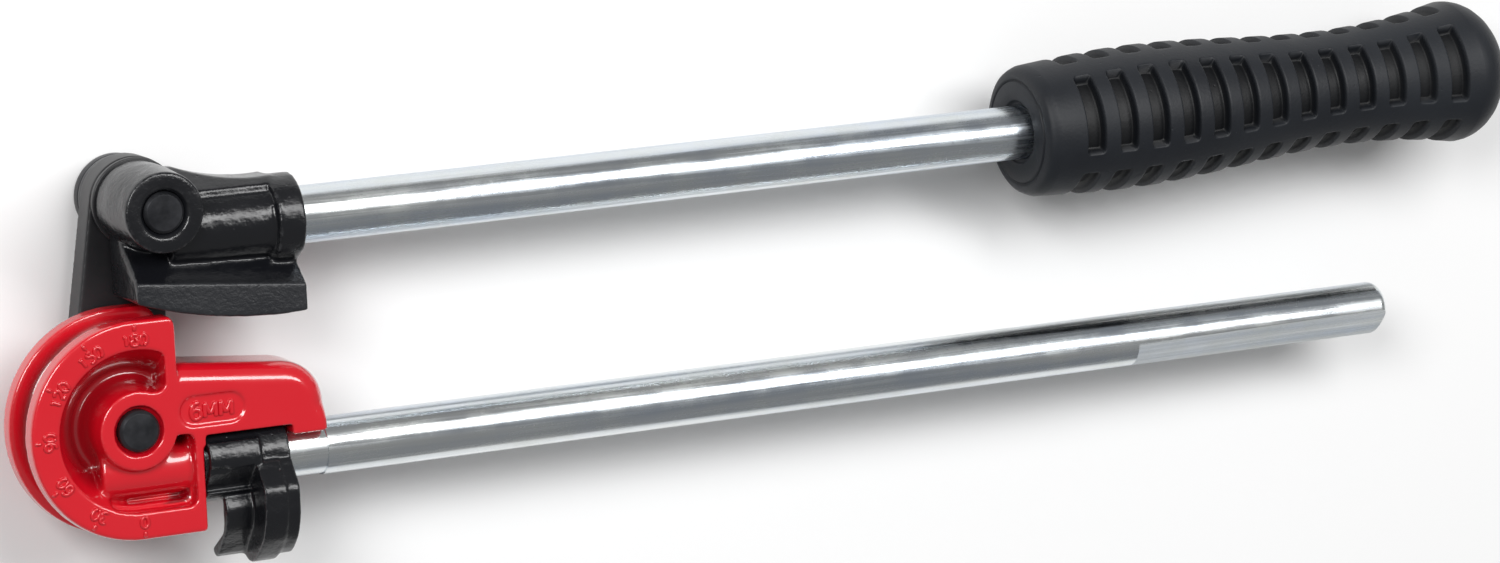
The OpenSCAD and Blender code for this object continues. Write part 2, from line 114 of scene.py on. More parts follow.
def newGroup(name, inputs, outputs):
    group = bpy.data.node_groups.new(name, "ShaderNodeTree")
    for label, kind, value in inputs:
        socket = group.interface.new_socket(label, in_out="INPUT", socket_type=kind)
        if value is not None:
            socket.default_value = value
    for label in outputs:
        group.interface.new_socket(label, in_out="OUTPUT", socket_type="NodeSocketFloat")
    return group, group.nodes.new("NodeGroupInput"), group.nodes.new("NodeGroupOutput")


def makeCastSkin():
    # waves of a thick coat of enamel, the grain of the casting under it, and a few small pits
    group, given, result = newGroup("castSkin", [
        ("Coords", "NodeSocketVector", None),
        ("Waves", "NodeSocketFloat", 1.0),
        ("Grain", "NodeSocketFloat", 1.0),
    ], ["Height"])
    waves = noiseNode(group, given.outputs["Coords"], 420.0, 1.0)
    grain = noiseNode(group, given.outputs["Coords"], 1500.0, 3.0, 0.6)
    pits = addNode(group, "ShaderNodeTexVoronoi", Scale=620.0)
    group.links.new(given.outputs["Coords"], pits.inputs["Vector"])
    few = noiseNode(group, given.outputs["Coords"], 230.0, 1.0)
    spots = mathNode(group, "MULTIPLY", rangeNode(group, pits.outputs["Distance"], 0.07, 0.16, 1.0, 0.0),
                     rangeNode(group, few, 0.56, 0.62, 0.0, 1.0))
    waves = mathNode(group, "MULTIPLY", waves, given.outputs["Waves"])
    grain = mathNode(group, "MULTIPLY", grain, given.outputs["Grain"])
    height = mathNode(group, "SUBTRACT", mathNode(group, "ADD", waves, grain), spots)
    group.links.new(height, result.inputs["Height"])
    return group


def makeHandling():
    # cloudy marks of handling: a soft large pattern with a finer one inside it
    group, given, result = newGroup("handling", [
        ("Coords", "NodeSocketVector", None),
        ("Size", "NodeSocketFloat", 60.0),
        ("Low", "NodeSocketFloat", 0.2),
        ("High", "NodeSocketFloat", 0.3),
    ], ["Roughness", "Mask"])
    cloud = noiseNode(group, given.outputs["Coords"], given.outputs["Size"], 4.0, 0.6)
    mask = rangeNode(group, cloud, 0.35, 0.68, 0.0, 1.0)
    spread = mathNode(group, "SUBTRACT", given.outputs["High"], given.outputs["Low"])
    rough = mathNode(group, "ADD", given.outputs["Low"], mathNode(group, "MULTIPLY", mask, spread))
    group.links.new(rough, result.inputs["Roughness"])
    group.links.new(mask, result.inputs["Mask"])
    return group


def makeEdgeWearAndHighlight():
    # paint rubbed thin on the edges, together with a painted highlight along them: the mesh's own edge
    # measure, broken up by noise
    group, given, result = newGroup("edgeWearAndHighlight", [
        ("Coords", "NodeSocketVector", None),
        ("Edge", "NodeSocketFloat", 0.0),
        ("Amount", "NodeSocketFloat", 0.5),
    ], ["Mask"])
    broken = noiseNode(group, given.outputs["Coords"], 900.0, 4.0, 0.7)
    broken = rangeNode(group, broken, 0.46, 0.66, 0.0, 1.0)
    mask = mathNode(group, "MULTIPLY", mathNode(group, "MULTIPLY", broken, given.outputs["Edge"]),
                    given.outputs["Amount"])
    group.links.new(mask, result.inputs["Mask"])
    return group


def makeDrawnLines():
    # long fine lines left along a drawn or ground bar: noise stretched along one axis
    group, given, result = newGroup("drawnLines", [
        ("Coords", "NodeSocketVector", None),
        ("Fineness", "NodeSocketFloat", 1.0),
    ], ["Lines", "Bands"])
    fine = addNode(group, "ShaderNodeMapping")
    fine.inputs["Scale"].default_value = (24.0, 1500.0, 1500.0)
    coarse = addNode(group, "ShaderNodeMapping")
    coarse.inputs["Scale"].default_value = (9.0, 330.0, 330.0)
    for mapping in (fine, coarse):
        group.links.new(given.outputs["Coords"], mapping.inputs["Vector"])
    lines = noiseNode(group, fine.outputs[0], given.outputs["Fineness"], 3.0, 0.6)
    bands = noiseNode(group, coarse.outputs[0], given.outputs["Fineness"], 2.0, 0.5)
    group.links.new(lines, result.inputs["Lines"])
    group.links.new(bands, result.inputs["Bands"])
    return group


castSkin = makeCastSkin()
handling = makeHandling()
edgeWearAndHighlight = makeEdgeWearAndHighlight()
drawnLines = makeDrawnLines()
print("shader groups built")


def startMaterial(name):
    material = bpy.data.materials.new(name)
    material.use_nodes = True
    tree = material.node_tree
    shader = tree.nodes["Principled BSDF"]
    coords = tree.nodes.new("ShaderNodeTexCoord").outputs["Object"]
    return material, tree, shader, coords


def useGroup(tree, group, coords, **values):
    node = tree.nodes.new("ShaderNodeGroup")
    node.node_tree = group
    tree.links.new(coords, node.inputs["Coords"])
    for label, value in values.items():
        if isinstance(value, (int, float)):
            node.inputs[label].default_value = value
        else:
            tree.links.new(value, node.inputs[label])
    return node.outputs


def addBump(tree, shader, height, strength, distance):
    bump = addNode(tree, "ShaderNodeBump", Strength=strength, Distance=distance)
    tree.links.new(height, bump.inputs["Height"])
    tree.links.new(bump.outputs["Normal"], shader.inputs["Normal"])


def meshValue(tree, name):
    return addNode(tree, "ShaderNodeAttribute", attribute_name=name).outputs["Fac"]


enamelLook = {
    "red": (0.62, 0.004, 0.014),
    # painted shade: the darker red laid in the former's groove and pocket
    "redShaded": (0.24, 0.0, 0.004),
    "black": (0.0060, 0.0064, 0.0082),
    # painted reflection: the lighter black of the shoe's lower band and seat
    "blackSheen": (0.028, 0.030, 0.035),
}


def makeRedEnamel(look):
    material, tree, shader, coords = startMaterial("red enamel")
    skin = useGroup(tree, castSkin, coords, Waves=1.0, Grain=0.10)
    marks = useGroup(tree, handling, coords, Size=90.0, Low=0.17, High=0.27)
    wearAndHighlight = useGroup(tree, edgeWearAndHighlight, coords, Edge=meshValue(tree, "edge"), Amount=0.35)
    # painted shade: the red darkens in the tube's groove and in the pocket
    colour = mixColours(tree, meshValue(tree, "hollow"), look["red"], look["redShaded"])
    # edges: paint rubbed thin, and a painted highlight, in a lighter red
    colour = mixColours(tree, wearAndHighlight["Mask"], colour, (0.80, 0.10, 0.11))
    tree.links.new(colour, shader.inputs["Base Color"])
    tree.links.new(marks["Roughness"], shader.inputs["Roughness"])
    shader.inputs["Coat Weight"].default_value = 1.0
    shader.inputs["Coat Roughness"].default_value = 0.03
    addBump(tree, shader, skin["Height"], 0.16, 0.10 * mm)
    return material


def makeBlackEnamel(look):
    material, tree, shader, coords = startMaterial("black enamel")
    asCastAndSheen = meshValue(tree, "asCastAndSheen")
    grain = rangeNode(tree, asCastAndSheen, 0.0, 1.0, 0.7, 1.5)
    skin = useGroup(tree, castSkin, coords, Waves=1.4, Grain=grain)
    marks = useGroup(tree, handling, coords, Size=110.0, Low=0.16, High=0.32)
    wearAndHighlight = useGroup(tree, edgeWearAndHighlight, coords, Edge=meshValue(tree, "edge"), Amount=0.35)
    # edges: paint rubbed thin, and a painted highlight, in grey
    colour = mixColours(tree, wearAndHighlight["Mask"], look["black"], (0.20, 0.20, 0.21))
    # painted reflection: the as-cast band and seat are made lighter, standing in for the floor's light; their
    # roughness and grain are real
    colour = mixColours(tree, mathNode(tree, "MULTIPLY", asCastAndSheen, 0.35), colour, look["blackSheen"])
    tree.links.new(colour, shader.inputs["Base Color"])
    tree.links.new(mathNode(tree, "ADD", marks["Roughness"], mathNode(tree, "MULTIPLY", asCastAndSheen, 0.16)),
                   shader.inputs["Roughness"])
    shader.inputs["Specular IOR Level"].default_value = 0.42
    shader.inputs["Coat Weight"].default_value = 0.12
    shader.inputs["Coat Roughness"].default_value = 0.08
    addBump(tree, shader, skin["Height"], 0.5, 0.2 * mm)
    return material


def makeBlackPlate():
    material, tree, shader, coords = startMaterial("satin black plate")
    skin = useGroup(tree, castSkin, coords, Waves=0.4, Grain=0.5)
    marks = useGroup(tree, handling, coords, Size=70.0, Low=0.34, High=0.48)
    colour = mixColours(tree, marks["Mask"], (0.008, 0.008, 0.0095), (0.014, 0.014, 0.016))
    tree.links.new(colour, shader.inputs["Base Color"])
    tree.links.new(marks["Roughness"], shader.inputs["Roughness"])
    addBump(tree, shader, skin["Height"], 0.2, 0.06 * mm)
    return material


def makeBlackOxide():
    material, tree, shader, coords = startMaterial("black oxide steel")
    skin = useGroup(tree, castSkin, coords, Waves=0.3, Grain=0.8)
    marks = useGroup(tree, handling, coords, Size=240.0, Low=0.30, High=0.46)
    colour = mixColours(tree, marks["Mask"], (0.016, 0.017, 0.020), (0.034, 0.035, 0.040))
    tree.links.new(colour, shader.inputs["Base Color"])
    tree.links.new(marks["Roughness"], shader.inputs["Roughness"])
    shader.inputs["Metallic"].default_value = 0.55
    addBump(tree, shader, skin["Height"], 0.18, 0.05 * mm)
    return material


def makeZincSteel():
    material, tree, shader, coords = startMaterial("bright zinc plate")
    drawn = useGroup(tree, drawnLines, coords, Fineness=1.0)
    marks = useGroup(tree, handling, coords, Size=130.0, Low=0.13, High=0.24)
    bands = rangeNode(tree, drawn["Bands"], 0.36, 0.64, 0.0, 1.0)
    colour = mixColours(tree, bands, (0.56, 0.62, 0.70), (0.80, 0.83, 0.84))
    colour = mixColours(tree, mathNode(tree, "MULTIPLY", marks["Mask"], 0.3), colour, (0.68, 0.70, 0.62))
    tree.links.new(colour, shader.inputs["Base Color"])
    rough = mathNode(tree, "ADD", marks["Roughness"],
                     mathNode(tree, "MULTIPLY", rangeNode(tree, drawn["Lines"], 0.4, 0.6, 0.0, 1.0), 0.12))
    tree.links.new(rough, shader.inputs["Roughness"])
    shader.inputs["Metallic"].default_value = 1.0
    height = mathNode(tree, "ADD", drawn["Lines"], mathNode(tree, "MULTIPLY", drawn["Bands"], 2.0))
    addBump(tree, shader, height, 0.22, 0.05 * mm)
    return material


def makeGripRubber():
    material, tree, shader, coords = startMaterial("grip rubber")
    skin = useGroup(tree, castSkin, coords, Waves=0.5, Grain=1.0)
    marks = useGroup(tree, handling, coords, Size=45.0, Low=0.44, High=0.60)
    colour = mixColours(tree, marks["Mask"], (0.0060, 0.0075, 0.0110), (0.0105, 0.0130, 0.0175))
    # painted shade: the floors of the slots are made darker
    colour = mixColours(tree, meshValue(tree, "hollow"), colour, (0.0020, 0.0025, 0.0036))
    tree.links.new(colour, shader.inputs["Base Color"])
    shader.inputs["Specular IOR Level"].default_value = 0.36
    tree.links.new(marks["Roughness"], shader.inputs["Roughness"])
    addBump(tree, shader, skin["Height"], 0.45, 0.08 * mm)
    return material


finish = {
    "red_enamel": makeRedEnamel(enamelLook),
    "black_enamel": makeBlackEnamel(enamelLook),
    "black_plate": makeBlackPlate(),
    "black_steel": makeBlackOxide(),
    "zinc_steel": makeZincSteel(),
    "grip_rubber": makeGripRubber(),
}
print("materials built:", len(finish))


def newPiece(name, points, faces, node):
    # points in metres; the piece takes the finish and the body of a CAD node
    mesh = bpy.data.meshes.new(name)
    mesh.from_pydata(points.tolist(), [], faces.tolist())
    mesh.polygons.foreach_set("use_smooth", np.ones(len(mesh.polygons), bool))
    return placePiece(bpy.data.objects.new(name, mesh), node)


def placePiece(obj, node):
    obj.data.materials.clear()
    obj.data.materials.append(finish[slotOf[node]])
    if obj.name not in scene.collection.objects:
        scene.collection.objects.link(obj)
    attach(obj, bodyOf[node])
    return obj


def weldedCopy(node, name):
    # a CAD mesh is loose triangles: the copy is welded into one skin
    mesh = frame["nodes"][node].data.copy()
    mesh.name = name
    skin = bmesh.new()
    skin.from_mesh(mesh)
    bmesh.ops.remove_doubles(skin, verts=skin.verts, dist=0.002 * mm)
    skin.to_mesh(mesh)
    skin.free()
    obj = bpy.data.objects.new(name, mesh)
    scene.collection.objects.link(obj)
    return obj


def applyModifiers(obj):
    bpy.context.view_layer.update()
    finished = obj.evaluated_get(bpy.context.evaluated_depsgraph_get())
    mesh = bpy.data.meshes.new_from_object(finished)
    obj.modifiers.clear()
    obj.data = mesh
    return mesh


def readPoints(mesh):
    points = np.empty(len(mesh.vertices) * 3)
    mesh.vertices.foreach_get("co", points)
    return points.reshape(-1, 3)


def neighbourMean(points, edges):
    # each point's mean neighbour: sums over both ends of every edge, divided by the number of edges
    count = np.bincount(edges.ravel(), minlength=len(points))
    total = np.empty_like(points)
    for axis in range(3):
        total[:, axis] = (np.bincount(edges[:, 0], points[edges[:, 1], axis], len(points))
                          + np.bincount(edges[:, 1], points[edges[:, 0], axis], len(points)))
    return total / count[:, None]


def smoothStep(low, high, value):
    # 0 below low, 1 above high, and 3t^2 - 2t^3 between them
    t = np.clip((value - low) / (high - low), 0, 1)
    return t * t * (3 - 2 * t)


def addMeshValue(mesh, name, values):
    attribute = mesh.attributes.new(name, "FLOAT", "POINT")
    attribute.data.foreach_set("value", np.ascontiguousarray(values, np.float32))


def castCopy(node, name, cast, softness, shape=None):
    # the CAD solid as an even net of small squares. Every round moves each point part of the way to its
    # neighbours' mean, which turns sharp edges and corners into the fillets of a casting
    obj = weldedCopy(node, name)
    net = obj.modifiers.new("net", "REMESH")
    net.mode = "VOXEL"
    net.voxel_size = cast["net"] * mm
    mesh = applyModifiers(obj)
    points = readPoints(mesh)
    edges = np.empty(len(mesh.edges) * 2, int)
    mesh.edges.foreach_get("vertices", edges)
    edges = edges.reshape(-1, 2)
    if shape:
        points = shape(points)
    weight = softness(points)
    for step in range(cast["rounds"]):
        share = np.clip(weight - step, 0, 1)[:, None]
        points += 0.5 * share * (neighbourMean(points, edges) - points)
    mesh.vertices.foreach_set("co", points.ravel())
    mesh.update()
    normals = np.empty(len(points) * 3)
    mesh.vertex_normals.foreach_get("vector", normals)
    normals = normals.reshape(-1, 3)
    bend = ((points - neighbourMean(points, edges)) * normals).sum(1) / (cast["net"] * mm)
    addMeshValue(mesh, "edge", smoothStep(0.03, 0.14, bend))
    mesh.polygons.foreach_set("use_smooth", np.ones(len(mesh.polygons), bool))
    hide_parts(node)
    return placePiece(obj, node), points, normals


def easedCopy(node, name, width):
    # the CAD solid with its sharp edges eased by a small round
    obj = weldedCopy(node, name)
    ease = obj.modifiers.new("ease", "BEVEL")
    ease.width = width * mm
    ease.segments = 3
    ease.limit_method = "ANGLE"
    ease.angle_limit = math.radians(35)
    ease.use_clamp_overlap = True
    mesh = applyModifiers(obj)
    mesh.polygons.foreach_set("use_smooth", np.ones(len(mesh.polygons), bool))
    mesh.set_sharp_from_angle(angle=math.radians(32))
    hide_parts(node)
    return placePiece(obj, node)


formerCast = {  # millimetres from the pivot, and from the middle plane along Z
    "net": 0.29, "rounds": 18,
    "outside": 2.6, "pocket": 13.0,  # rounds of softening on the outer edges, and further ones in the pocket
    "bossR": 6.0, "mouthR": 13.6, "ringEnd": 4.9, "lobeEnd": 9.3, "lobeTop": -1.8,
    "floor": (-1.2, -0.4), "mouth": (4.6, 5.9),
    "noseRound": 3.5, "topY": 1.0, "footY": -3.5, "sharpness": 6.0,
    "grooveR": (14.0, 14.6, 16.6, 18.4), "grooveHalf": 3.6,
    # the painted shade in the pocket: where it lies and how dark it gets
    "pocketShadeR": (6.6, 7.2, 12.0, 13.6), "pocketShadeZ": (1.5, 5.6), "pocketShadeLow": -2.0, "pocketShade": 0.85,
}


def fromPivot(points):
    return points[:, 0] / mm, points[:, 1] / mm, (points[:, 2] - midZ) / mm


def formerSoftness(points):
    # edges outside get few rounds, the pocket's corners many more
    cast = formerCast
    x, y, z = fromPivot(points)
    radius = np.hypot(x, y)
    inRing = (radius < cast["mouthR"]) & (x < cast["ringEnd"])
    inLobe = (x > 0) & (x < cast["lobeEnd"]) & (y < cast["lobeTop"]) & (y > -cast["mouthR"])
    deep = smoothStep(*cast["floor"], z) * (1 - smoothStep(*cast["mouth"], z))
    return cast["outside"] + cast["pocket"] * deep * ((inRing | inLobe) & (radius > cast["bossR"]))


def sharpenNose(points):
    # the arm's end is rounded towards the front face, and the rounding fades out downwards: across the corner
    # u^2 + v^2 = 1 becomes u^n + v^n = 1, where n grows from 2 to the sharpness
    cast = formerCast
    x, y, z = fromPivot(points)
    roundR = cast["noseRound"]
    startX, startZ = formerHigh[0] / mm - roundR, (faceZ - midZ) / mm - roundR
    u, v = (x - startX) / roundR, (np.abs(z) - startZ) / roundR
    near = (u > 0) & (v > 0) & (y < cast["topY"])
    n = 2 + (cast["sharpness"] - 2) * smoothStep(cast["topY"], cast["footY"], y)
    wanted = np.where(near, (np.abs(u) ** n + np.abs(v) ** n) ** (1 / n), 1.0)
    grow = np.where(near, np.hypot(u, v) / np.maximum(wanted, 1e-6), 1.0)
    points = points.copy()
    points[:, 0] = np.where(near, (startX + u * grow * roundR) * mm, points[:, 0])
    points[:, 2] = np.where(near, midZ + np.sign(z) * (startZ + v * grow * roundR) * mm, points[:, 2])
    return points


def formerShade(points, cast):
    # painted shade: how far the red is darkened, 1 in the tube's groove, less in the pocket, 0 outside
    x, y, level = fromPivot(points)
    radius = np.hypot(x, y)
    inner, innerFull, outerFull, outer = cast["grooveR"]
    groove = smoothStep(outer, outerFull, radius) * smoothStep(inner, innerFull, radius)
    groove = groove * (np.abs(level) < cast["grooveHalf"])
    inner, innerFull, outerFull, outer = cast["pocketShadeR"]
    pocket = smoothStep(outer, outerFull, radius) * smoothStep(inner, innerFull, radius)
    pocket = pocket * smoothStep(cast["pocketShadeZ"][1], cast["pocketShadeZ"][0], level) * (level > cast["pocketShadeLow"])
    return np.maximum(groove, cast["pocketShade"] * pocket)


former, formerPoints, _ = castCopy("former", "formerCasting", formerCast, formerSoftness, sharpenNose)
# painted shade in the former's groove and pocket
addMeshValue(former.data, "hollow", formerShade(formerPoints, formerCast))
print("former cast:", len(formerPoints), "points")


strokes = {  # each figure in a box 0.62 wide and 1 high, as runs of points joined by a smooth curve
    "0": [[(0.31, 0), (0.06, 0.2), (0.0, 0.5), (0.06, 0.8), (0.31, 1), (0.56, 0.8), (0.62, 0.5),
           (0.56, 0.2), (0.31, 0)]],
    "1": [[(0.10, 0.76), (0.24, 0.86), (0.34, 1.0)], [(0.34, 1.0), (0.34, 0.5), (0.34, 0.0)]],
    "2": [[(0.02, 0.76), (0.12, 0.95), (0.34, 1.0), (0.56, 0.88), (0.58, 0.68), (0.42, 0.42), (0.04, 0.02)],
          [(0.04, 0.0), (0.32, 0.0), (0.62, 0.0)]],
    "3": [[(0.03, 0.86), (0.22, 1.0), (0.48, 0.95), (0.56, 0.75), (0.42, 0.56), (0.24, 0.53)],
          [(0.24, 0.53), (0.50, 0.48), (0.62, 0.27), (0.50, 0.06), (0.26, 0.0), (0.02, 0.12)]],
    "5": [[(0.56, 1.0), (0.34, 1.0), (0.10, 1.0)], [(0.10, 1.0), (0.08, 0.8), (0.05, 0.56)],
          [(0.05, 0.56), (0.28, 0.64), (0.54, 0.54), (0.62, 0.31), (0.50, 0.07), (0.26, 0.0), (0.02, 0.10)]],
    "6": [[(0.54, 0.90), (0.34, 1.0), (0.10, 0.84), (0.0, 0.45), (0.08, 0.11), (0.32, 0.0), (0.56, 0.11),
           (0.62, 0.32), (0.52, 0.53), (0.30, 0.60), (0.10, 0.50), (0.02, 0.34)]],
    "8": [[(0.31, 0.54), (0.08, 0.66), (0.08, 0.88), (0.31, 1.0), (0.54, 0.88), (0.54, 0.66), (0.31, 0.54)],
          [(0.31, 0.54), (0.04, 0.40), (0.03, 0.12), (0.31, 0.0), (0.59, 0.12), (0.58, 0.40), (0.31, 0.54)]],
    "9": [[(0.08, 0.10), (0.28, 0.0), (0.52, 0.16), (0.62, 0.55), (0.54, 0.89), (0.30, 1.0), (0.06, 0.89),
           (0.0, 0.68), (0.10, 0.47), (0.32, 0.40), (0.52, 0.50), (0.60, 0.66)]],
    "M": [[(0.0, 0.0), (0.0, 0.5), (0.0, 1.0)], [(0.0, 1.0), (0.17, 0.6), (0.36, 0.2)],
          [(0.36, 0.2), (0.55, 0.6), (0.72, 1.0)], [(0.72, 1.0), (0.72, 0.5), (0.72, 0.0)]],
}

scaleMarks = {
    "angles": {"0": 270, "30": 240, "60": 210, "90": 180, "120": 150, "150": 120, "180": 90},
    "figureR": 15.55, "figureHigh": 1.9, "tickFrom": 17.0, "tickTo": 18.25,
    "width": 0.70, "high": 0.42, "spacing": 1.32,
}
sizeMark = {"text": "6MM", "place": (9.35, 0.75), "high": 2.75, "width": 0.86, "up": 0.46, "spacing": 1.42}


def smoothRun(points, count):
    # a curve through the points, each piece a cubic whose slope at a point is half the step between
    # the points on either side of it
    p = np.asarray(points, float)
    p = np.vstack([2 * p[0] - p[1], p, 2 * p[-1] - p[-2]])
    if np.allclose(p[1], p[-2]):
        p[0], p[-1] = p[-3], p[2]
    t = np.linspace(0, len(points) - 1, count)
    k = np.minimum(t.astype(int), len(points) - 2)
    t = (t - k)[:, None]
    a, b, c, d = p[k], p[k + 1], p[k + 2], p[k + 3]
    return b + (c - a) * t / 2 + (2 * a - 5 * b + 4 * c - d) * t**2 / 2 + (3 * b - a - 3 * c + d) * t**3 / 2


def ridge(run, width, high):
    # half an ellipse carried along a flat run: across by width/2 * cos(a), up by high * sin(a),
    # both drawn in to nothing at the two ends
    across = np.gradient(run, axis=0)
    across = np.stack([-across[:, 1], across[:, 0]], 1) / np.linalg.norm(across, axis=1)[:, None]
    length = np.concatenate([[0], np.cumsum(np.linalg.norm(np.diff(run, axis=0), axis=1))])
    ends = np.minimum(length, length[-1] - length) / (width / 2)
    swell = np.sqrt(np.clip(1 - (1 - np.clip(ends, 0, 1)) ** 2, 1e-4, 1))[:, None]
    a = np.linspace(-0.35, math.pi + 0.35, 9)[None, :]
    flat = run[:, None, :] + (across[:, None, :] * (np.cos(a) * swell)[:, :, None]) * width / 2
    up = (np.sin(a) * swell) * high
    points = np.concatenate([flat, up[:, :, None]], 2)
    return points, gridFaces(points.shape[0], points.shape[1], False, True)


def gridFaces(rows, columns, loopRows, loopColumns):
    # squares between neighbouring rows and columns of a grid of points
    i = np.arange(rows if loopRows else rows - 1)[:, None]
    j = np.arange(columns if loopColumns else columns - 1)[None, :]
    k, m = (i + 1) % rows, (j + 1) % columns
    return np.stack([i * columns + j, i * columns + m, k * columns + m, k * columns + j], 2).reshape(-1, 4)


def figureRuns(text, high, spacing):
    # the strokes of a word about the middle of its foot
    runs, x = [], 0.0
    for letter in text:
        for run in strokes[letter]:
            runs.append(smoothRun(run, 6 * len(run)) * high + np.array([x, 0]))
        x += (0.72 if letter == "M" else 0.62) * high * spacing
    middle = (x - 0.62 * high * (spacing - 1)) / 2
    return [run - np.array([middle, 0]) for run in runs], middle


def ridgesPiece(name, runs, width, high, height, node):
    allPoints, allFaces, start = [], [], 0
    for run in runs:
        points, faces = ridge(run, width, high)
        allFaces.append(faces + start)
        allPoints.append(points.reshape(-1, 3))
        start += len(allPoints[-1])
    points = np.vstack(allPoints) * mm + np.array([0, 0, height])
    obj = newPiece(name, points, np.vstack(allFaces), node)
    skin = bmesh.new()
    skin.from_mesh(obj.data)
    bmesh.ops.holes_fill(skin, edges=skin.edges, sides=12)
    bmesh.ops.recalc_face_normals(skin, faces=skin.faces)
    skin.to_mesh(obj.data)
    skin.free()
    addMeshValue(obj.data, "edge", np.zeros(len(obj.data.vertices)))
    addMeshValue(obj.data, "hollow", np.zeros(len(obj.data.vertices)))
    return obj


def scaleRuns(marks):
    runs = []
    for word, angle in marks["angles"].items():
        a = math.radians(angle)
        out = np.array([math.cos(a), math.sin(a)])
        along = np.array([out[1], -out[0]])
        figures, _ = figureRuns(word, marks["figureHigh"], marks["spacing"])
        for run in figures:
            # the foot of the figures follows the scale's circle
            turn = run[:, 0] / marks["figureR"]
            reach = marks["figureR"] - marks["figureHigh"] / 2 + run[:, 1]
            runs.append((np.cos(turn) * reach)[:, None] * out + (np.sin(turn) * reach)[:, None] * along)
        tick = np.linspace(marks["tickFrom"], marks["tickTo"], 8)
        runs.append(tick[:, None] * out)
    return runs


ridgesPiece("angleScale", scaleRuns(scaleMarks), scaleMarks["width"], scaleMarks["high"], faceZ, "former")
sizeRuns, sizeMiddle = figureRuns(sizeMark["text"], sizeMark["high"], sizeMark["spacing"])
sizeRuns = [run + np.array([sizeMark["place"][0] + sizeMiddle, sizeMark["place"][1]]) for run in sizeRuns]
ridgesPiece("sizeFigures", sizeRuns, sizeMark["width"], sizeMark["up"], faceZ - 0.5 * mm, "former")
print("figures raised")


leverCast = {  # millimetres; "even" rounds everywhere, and "fillet" further ones below the socket
    "net": 0.30, "rounds": 22, "even": 6.0, "fillet": 16.0, "socketR": 6.3, "axisY": 32.4,
    "filletR": (0.8, 2.2), "below": (-1.5, -3.5), "back": (-3.0, -1.0), "front": (5.6, 4.6),
    "bandZ": (6.5, 6.9, 7.3, 7.7), "bandTop": (27.5, 26.0), "seatTop": (24.0, 23.0),
}
hookCast = {"net": 0.22, "rounds": 5}
plateCast = {"net": 0.30, "rounds": 2}


def evenSoftness(rounds):
    return lambda points: np.full(len(points), float(rounds))


def leverSoftness(points):
    # the corner between the socket and the shoe gets further rounds, which fill it like a casting's fillet
    cast = leverCast
    x, y, z = fromPivot(points)
    y = y - cast["axisY"]
    near, far = cast["filletR"]
    corner = smoothStep(cast["socketR"] + far, cast["socketR"] + near, np.hypot(y, z))
    corner = corner * smoothStep(*cast["below"], y)
    corner = corner * smoothStep(*cast["back"], z) * smoothStep(*cast["front"], z)
    return cast["even"] + cast["fillet"] * corner


def leverCastSkinAndSheen(points, normals, cast):
    # 1 where the skin stays as cast: the shoe's front band and the seat over the tube. The same value paints
    #                                 these lower parts lighter, a painted reflection of the floor below them
    x, y, z = fromPivot(points)
    low, lowFull, highFull, high = cast["bandZ"]
    band = smoothStep(low, lowFull, z) * (1 - smoothStep(highFull, high, z))
    band = band * smoothStep(*cast["bandTop"], y) * smoothStep(0.5, 0.9, normals[:, 2])
    seat = smoothStep(-0.35, -0.8, normals[:, 1]) * smoothStep(*cast["seatTop"], y)
    return np.clip(band + seat, 0, 1)


lever, leverPoints, leverNormals = castCopy("lever", "leverCasting", leverCast, leverSoftness)
addMeshValue(lever.data, "asCastAndSheen", leverCastSkinAndSheen(leverPoints, leverNormals, leverCast))

hook, hookPoints, _ = castCopy("hook", "hookCasting", hookCast, evenSoftness(hookCast["rounds"]))
addMeshValue(hook.data, "asCastAndSheen", np.zeros(len(hookPoints)))
castCopy("link_plate", "linkPlate", plateCast, evenSoftness(plateCast["rounds"]))
print("lever and hook cast:", len(leverPoints), len(hookPoints), "points")


easedEdges = {
    "pivot_washer": ("pivotWasher", 0.10),
    "pivot_back_washer": ("pivotBackWasher", 0.25),
    "lever_washer": ("leverWasher", 0.22),
    "lever_back_washer": ("leverBackWasher", 0.25),
    "pivot_pin": ("pivotPin", 0.16),
    "lever_pin": ("leverPin", 0.16),
}
for node, (name, width) in easedEdges.items():
    easedCopy(node, name, width)
print("edges eased:", len(easedEdges))


gripShape = {
    "pin": (5.9094, 36.6466), "lean": 0.5, "drop": 4.25,  # the lever pin's place and the rod's axis below it
    "start": 169.3, "long": 106.5, "rodR": 5.0, "dome": 9.5, "tip": 2.0, "gripLean": 1.36,
    "swell": 13.4, "waist": 11.2, "flare": 13.75, "swellAt": 25.0, "waistAt": 70.0,
    "slots": 13, "firstSlot": 9.7, "pitch": 6.84, "slotWidth": 3.6, "slotDepth": 2.0, "slotRound": 0.7,
    "band": 4.6, "rowTurn": -17.0, "edge": 0.34,
}


def gripRadius(x, g):
    # half a cosine wave from the swell to the waist, then a parabola up to the flare where the dome starts
    swell, waist, flare, waistAt = g["swell"], g["waist"], g["flare"], g["waistAt"]
    turn = np.pi * (x - g["swellAt"]) / (waistAt - g["swellAt"])
    wave = (swell + waist) / 2 + (swell - waist) / 2 * np.cos(turn)
    rise = waist + (flare - waist) * ((x - waistAt) / (g["long"] - g["dome"] - waistAt)) ** 2
    return np.where(x < waistAt, wave, rise)


def turned(x, y, degrees):
    c, s = np.cos(np.radians(degrees)), np.sin(np.radians(degrees))
    return x * c - y * s, x * s + y * c


